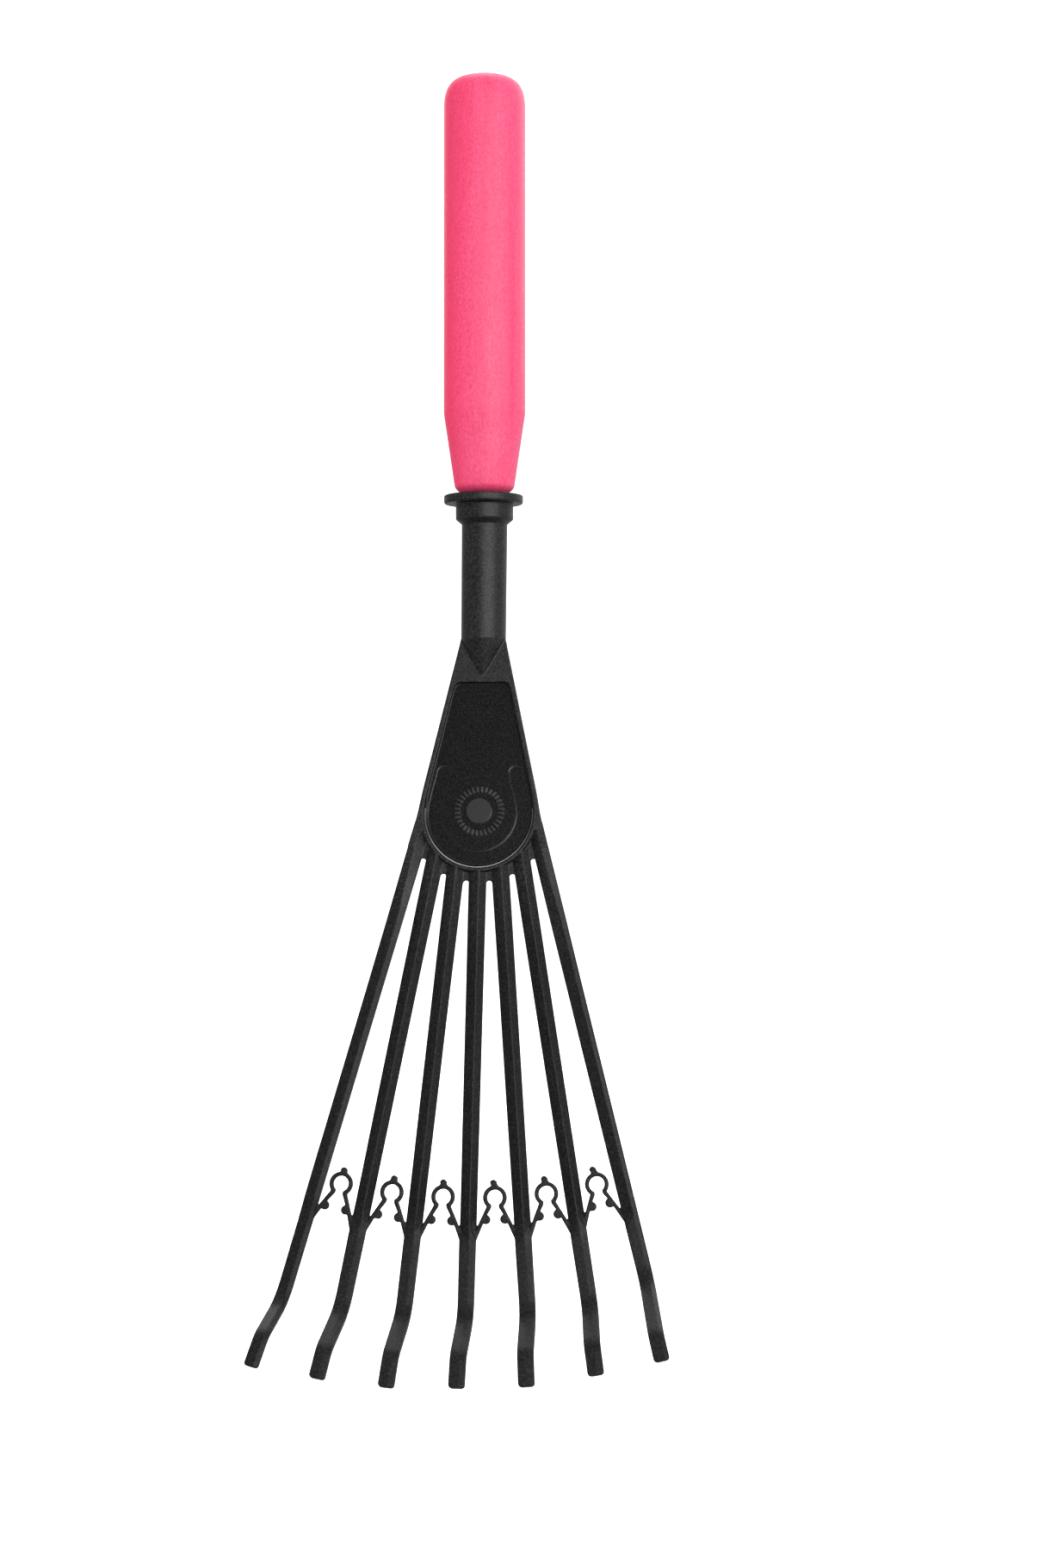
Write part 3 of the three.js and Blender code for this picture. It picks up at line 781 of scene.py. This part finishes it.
# ------------------------------------------------------------------ materials
BUMP_DEPTH = 0.00012
PLASTIC_GREY = (0.013, 0.013, 0.013 * 1.03)
PLASTIC_GRAIN = [(0.36, (0.3,) * 3), (0.5, (0.95,) * 3), (0.64, (2.5,) * 3)]
PANEL_DARK, PANEL_DUST = (0.0028, 0.0028, 0.003), (0.018, 0.0178, 0.018)
# the groove step's colour is a painted highlight
GROOVE_STEP_HIGHLIGHT, MARK_GREY = (0.027, 0.027, 0.0275), (0.021, 0.021, 0.0215)
# the fillet's two colours are a painted highlight
FILLET_HIGHLIGHT_SIDE, FILLET_HIGHLIGHT_MIDDLE = (0.09, 0.09, 0.092), (0.42, 0.42, 0.42)
# the recess as the material finds it, in plate millimetres
SIDE_SLOPE, SIDE_HALF_W = 0.2197, 21.29  # the plate's sloping sides: |x| + slope * y
PANEL_SPLIT_Y, PANEL_TOP_Y = 3.5, 46.25
FILLET_TOP_Y, FILLET_INNER_R = 2.0, 17.9

WOOD_DARK, WOOD_LIGHT = (0.93, 0.068, 0.190), (0.97, 0.102, 0.245)
WOOD_DEEP, WOOD_PALE = (0.93, 0.026, 0.120), (0.99, 0.145, 0.30)
WOOD_PORE = (0.72, 0.03, 0.10)
WOOD_SPECKS = [(0.34, (0.93, 0.68, 0.76)), (0.5, WHITE), (0.66, (1.04, 1.42, 1.26))]
ZINC_DARK, ZINC_LIGHT = (0.52, 0.53, 0.55), (0.66, 0.67, 0.69)


def plate_coordinates(g, vector):
    """The plate's own x, y and z at a shading point, in millimetres."""
    out = []
    for axis in (Vector((1, 0, 0)), UP, OUT):
        dot = g.add("ShaderNodeVectorMath", {0: vector, 1: axis}, operation="DOT_PRODUCT")
        shifted = g.maths("SUBTRACT", dot.outputs["Value"], float(ORIGIN.dot(axis)))
        out.append(g.product(shifted, 1000.0))
    return out


def panel_masks(g, x, y, z):
    """Masks of the recess's smooth surface, its raised mark, the groove's step and the fillet."""
    # inside the sloping sides above, inside the ring below
    beside = g.maths("ADD", g.maths("ABSOLUTE", x), g.product(y, SIDE_SLOPE))
    upper = g.product(
        g.above(y, PANEL_SPLIT_Y),
        g.below(beside, SIDE_HALF_W - RIM_W - 0.12),
        g.below(y, PANEL_TOP_Y),
    )
    radius = g.length(x, y)
    lower = g.product(g.below(y, PANEL_SPLIT_Y), g.below(radius, PANEL_R - 0.12))
    deep = g.product(g.below(z, PLATE_T - 0.1), g.above(z, 1.6))
    panel = g.product(g.maths("MAXIMUM", upper, lower), deep)
    mark_radius = g.length(x, g.maths("SUBTRACT", y, MARK_Y))
    raised = g.product(
        g.below(mark_radius, MARK_OUT + 0.25), g.above(z, PANEL_FLOOR + 0.09), panel
    )
    smooth = g.maths("SUBTRACT", panel, raised, clamp=True)
    step = g.product(g.above(z, PANEL_FLOOR - 0.09), g.below(z, PANEL_FLOOR - 0.03))
    fillet = g.product(
        g.above(z, PANEL_FLOOR + 0.14),
        g.below(z, PANEL_FLOOR + 0.62),
        g.below(y, FILLET_TOP_Y),
        g.product(smooth, g.above(radius, FILLET_INNER_R)),
    )
    return smooth, raised, step, fillet


def plastic():
    made, g = new_material("moulded_black_plastic")
    v = g.mapped((1, 1, 1))
    x, y, z = plate_coordinates(g, v)
    smooth, raised, step, fillet = panel_masks(g, x, y, z)
    spark = g.noise(v, scale=1500, detail=2, roughness=0.65)
    fine = g.noise(v, scale=2300, detail=2, roughness=0.6)
    mid = g.noise(v, scale=700, detail=3, roughness=0.55)
    broad = g.noise(v, scale=60, detail=3, roughness=0.5)

    grain = g.ramp(spark, PLASTIC_GRAIN)
    grained = g.mix_colour(1.0, PLASTIC_GREY, grain, "MULTIPLY")
    # painted shade: the tines' colour darkens down their length, so they stay darker than the
    # plate
    away = g.fade(g.product(y, -0.01), start=0.2, end=0.5)
    shade = g.product(g.mix(broad, a=0.8, b=1.15), g.mix(away, a=1.0, b=0.62))
    shaded = g.add("ShaderNodeVectorMath", {0: grained, 3: shade}, operation="SCALE")

    dust = g.fade(g.noise(v, scale=1900, detail=2, roughness=0.6), start=0.42, end=0.68)
    panel_colour = g.mix_colour(dust, PANEL_DARK, PANEL_DUST)
    # painted highlight: the thin step round the groove is coloured lighter than the face, where
    # light would catch it
    panel_colour = g.mix_colour(step, panel_colour, GROOVE_STEP_HIGHLIGHT)
    base = g.mix_colour(smooth, shaded.outputs[0], panel_colour)
    base = g.mix_colour(raised, base, MARK_GREY)
    # painted highlight: the fillet round the lower end of the recess is coloured bright, most in
    # the middle
    middle = g.fade(g.product(y, -0.05), start=0.3, end=0.8)
    base = g.mix_colour(fillet, base, g.mix_colour(middle, FILLET_HIGHLIGHT_SIDE, FILLET_HIGHLIGHT_MIDDLE))

    rough = g.mix(smooth, a=g.mix(broad, a=0.42, b=0.5), b=0.24)
    gloss = g.mix(smooth, a=g.mix(away, a=0.31, b=0.24), b=0.17)
    height = g.maths("ADD", g.product(fine, 0.5), g.product(mid, 0.5))
    g.feed(g.shader, {
        "Base Color": base,
        "Roughness": g.mix(fillet, a=rough, b=0.2),
        "Specular IOR Level": g.mix(fillet, a=gloss, b=0.8),
        "IOR": 1.5,
        "Normal": g.bump(BUMP_DEPTH, strength=g.mix(smooth, a=0.5, b=0.1), height=height),
    })
    return made


def dyed_wood():
    """Pink dye, deeper where the grain drinks it, with painted shade deepening the handle's left
    side. The grain runs along z.
    """
    made, g = new_material("pink_dyed_wood")
    grain_v = g.mapped((1, 1, 0.035))
    pore_v = g.mapped((1, 1, 0.06))
    blotch_v = g.mapped((1, 1, 0.45))
    grain = g.noise(grain_v, scale=900, detail=4, roughness=0.6, distortion=0.15)
    rings = g.noise(grain_v, scale=160, detail=3, roughness=0.55, distortion=0.4)
    pores = g.fade(g.noise(pore_v, scale=2600, detail=2, roughness=0.5), start=0.60, end=0.72)
    blotch = g.noise(blotch_v, scale=60, detail=3, roughness=0.55)
    speck = g.noise(g.mapped((1, 1, 0.7)), scale=1500, detail=2, roughness=0.7)
    across = g.add("ShaderNodeSeparateXYZ", {0: blotch_v}).outputs["X"]
    # painted shade: the handle's left side is coloured deeper pink
    painted_shade_left = g.fade(g.product(across, -1.0), start=0.004, end=0.0105)

    base = g.mix_colour(grain, WOOD_DARK, WOOD_LIGHT)
    for mask, strength, colour in (
        (g.fade(rings, start=0.4, end=0.62), 0.35, WOOD_DEEP),
        (g.fade(blotch, start=0.45, end=0.75), 0.25, WOOD_PALE),
        (pores, 0.3, WOOD_PORE),
        (painted_shade_left, 0.8, WOOD_DEEP),
    ):
        base = g.mix_colour(g.product(mask, strength), base, colour)
    height = g.maths("SUBTRACT", grain, g.product(pores, 0.6))
    g.feed(g.shader, {
        "Base Color": g.mix_colour(1.0, base, g.ramp(speck, WOOD_SPECKS), "MULTIPLY"),
        "Roughness": g.mix(grain, a=0.46, b=0.6),
        "Specular IOR Level": 0.5,
        "Normal": g.bump(BUMP_DEPTH, strength=0.35, height=height),
    })
    return made


def zinc():
    made, g = new_material("zinc_plated_steel")
    scratches = g.noise(g.mapped((1, 1, 1)), scale=3000, detail=3, roughness=0.6)
    g.feed(g.shader, {
        "Base Color": g.mix_colour(scratches, ZINC_DARK, ZINC_LIGHT),
        "Metallic": 1.0,
        "Roughness": g.mix(scratches, a=0.26, b=0.42),
    })
    return made


def white_sweep():
    made, g = new_material("white_sweep")
    g.feed(g.shader, {
        "Base Color": (0.85, 0.85, 0.85, 1),
        "Roughness": 0.9,
        "Emission Color": (1, 1, 1, 1),
        "Emission Strength": 1.05,
    })
    return made


for ob, made in ((head, plastic()), (handle, dyed_wood()), (screw, zinc())):
    ob.data.materials.clear()
    ob.data.materials.append(made)

# ------------------------------------------------------------------ stage, light, camera
FLOOR_GAP = 0.0001
FLOOR_SEGMENTS = 96
FLAT_R, CURVE_R, WALL_TOP = 3.0, 2.0, 6.0

SOFTBOXES = [
    # name, azimuth from the front, elevation, distance, (width, height), watts, in reflections
    ("key_softbox", 28, 10, 1.5, (1.6, 0.6), 19, True),
    ("top_softbox", 180, 68, 1.5, (0.9, 0.9), 10, True),
    ("back_left", -150, 30, 1.7, (0.9, 0.9), 6, True),
    ("left_softbox", -82, 5, 1.5, (0.8, 0.8), 12.5, False),
    ("back_right", 150, 30, 1.7, (0.9, 0.9), 6, True),
]
SOFTBOX_AIM = Vector((0, 0, 0.03))

CAMERA_PLACE = (0.10522, -0.825794, 0.010744)
CAMERA_YAW = math.radians(6.25)
CAMERA_LENS = 55.7298188


def build_floor():
    """A round floor that curves up into a wall."""
    floor_z = min((head.matrix_world @ v.co).z for v in head.data.vertices) - FLOOR_GAP
    sweep = [(r, 0.0) for r in (0.5, 1.0, 2.0, FLAT_R)]  # radius, height
    for a in range(6, 91, 6):
        t = math.radians(a)
        sweep.append((FLAT_R + CURVE_R * math.sin(t), CURVE_R - CURVE_R * math.cos(t)))
    sweep.append((FLAT_R + CURVE_R, WALL_TOP))
    n = FLOOR_SEGMENTS
    verts = []
    for r, z in sweep:
        for k in range(n):
            a = 2 * math.pi * k / n
            verts.append((r * math.cos(a), r * math.sin(a), z + floor_z))
    faces = [(len(verts), k, (k + 1) % n) for k in range(n)]
    verts.append((0, 0, floor_z))
    for r in range(len(sweep) - 1):
        for k in range(n):
            j = (k + 1) % n
            faces.append((r * n + k, (r + 1) * n + k, (r + 1) * n + j, r * n + j))
    floor = new_object("floor_sweep", verts, faces)
    smooth_shade(floor)
    floor.data.materials.append(white_sweep())
    # only the camera sees the floor
    floor.visible_diffuse = floor.visible_glossy = floor.visible_transmission = False
    floor.visible_shadow = False


def build_world():
    """Grey surroundings, brighter to the right, behind and above, darker below."""
    scene.world = bpy.data.worlds.new("studio")
    g = Graph(scene.world, "ShaderNodeOutputWorld", "ShaderNodeBackground")
    where = g.add("ShaderNodeTexCoord").outputs["Generated"]
    x, y, z = g.add("ShaderNodeSeparateXYZ", {0: where}).outputs
    level = 0.3
    for part, amount in (
        (g.fade(x, start=0.1, end=0.95), 0.35),
        (g.fade(y, start=0.45, end=0.95), 0.45),
        (g.fade(z, start=0.3, end=0.95), 0.15),
        (g.fade(g.product(z, -1.0), start=0.1, end=0.6), -0.14),
    ):
        level = g.maths("ADD", level, g.product(part, amount))
    g.feed(g.shader, {"Color": (1, 1, 1, 1), "Strength": level})


def softbox(name, azimuth, elevation, distance, size, power, in_reflections):
    light = bpy.data.lights.new(name, "AREA")
    light.shape, light.energy = "RECTANGLE", power
    light.size, light.size_y = size
    ob = bpy.data.objects.new(name, light)
    scene.collection.objects.link(ob)
    a, e = math.radians(azimuth), math.radians(elevation)
    back = Vector((math.sin(a) * math.cos(e), -math.cos(a) * math.cos(e), math.sin(e)))
    ob.location = SOFTBOX_AIM + back * distance
    ob.rotation_mode = "QUATERNION"
    ob.rotation_quaternion = (-back).to_track_quat("-Z", "Y")
    ob.visible_glossy = in_reflections


def build_camera():
    """The main view: a little to the right and level with the neck."""
    data = bpy.data.cameras.new("camera")
    camera = bpy.data.objects.new("camera", data)
    scene.collection.objects.link(camera)
    data.sensor_fit = "AUTO"
    data.sensor_width = 36.0
    data.lens = CAMERA_LENS
    data.clip_start, data.clip_end = 0.01, 100
    camera.location = CAMERA_PLACE
    look = Vector((-math.sin(CAMERA_YAW), math.cos(CAMERA_YAW), 0.0))
    camera.rotation_mode = "QUATERNION"
    camera.rotation_quaternion = look.to_track_quat("-Z", "Y")
    scene.camera = camera


build_floor()
build_world()
for box in SOFTBOXES:
    softbox(*box)
build_camera()
scene.view_settings.view_transform = "Standard"
scene.view_settings.look = "None"
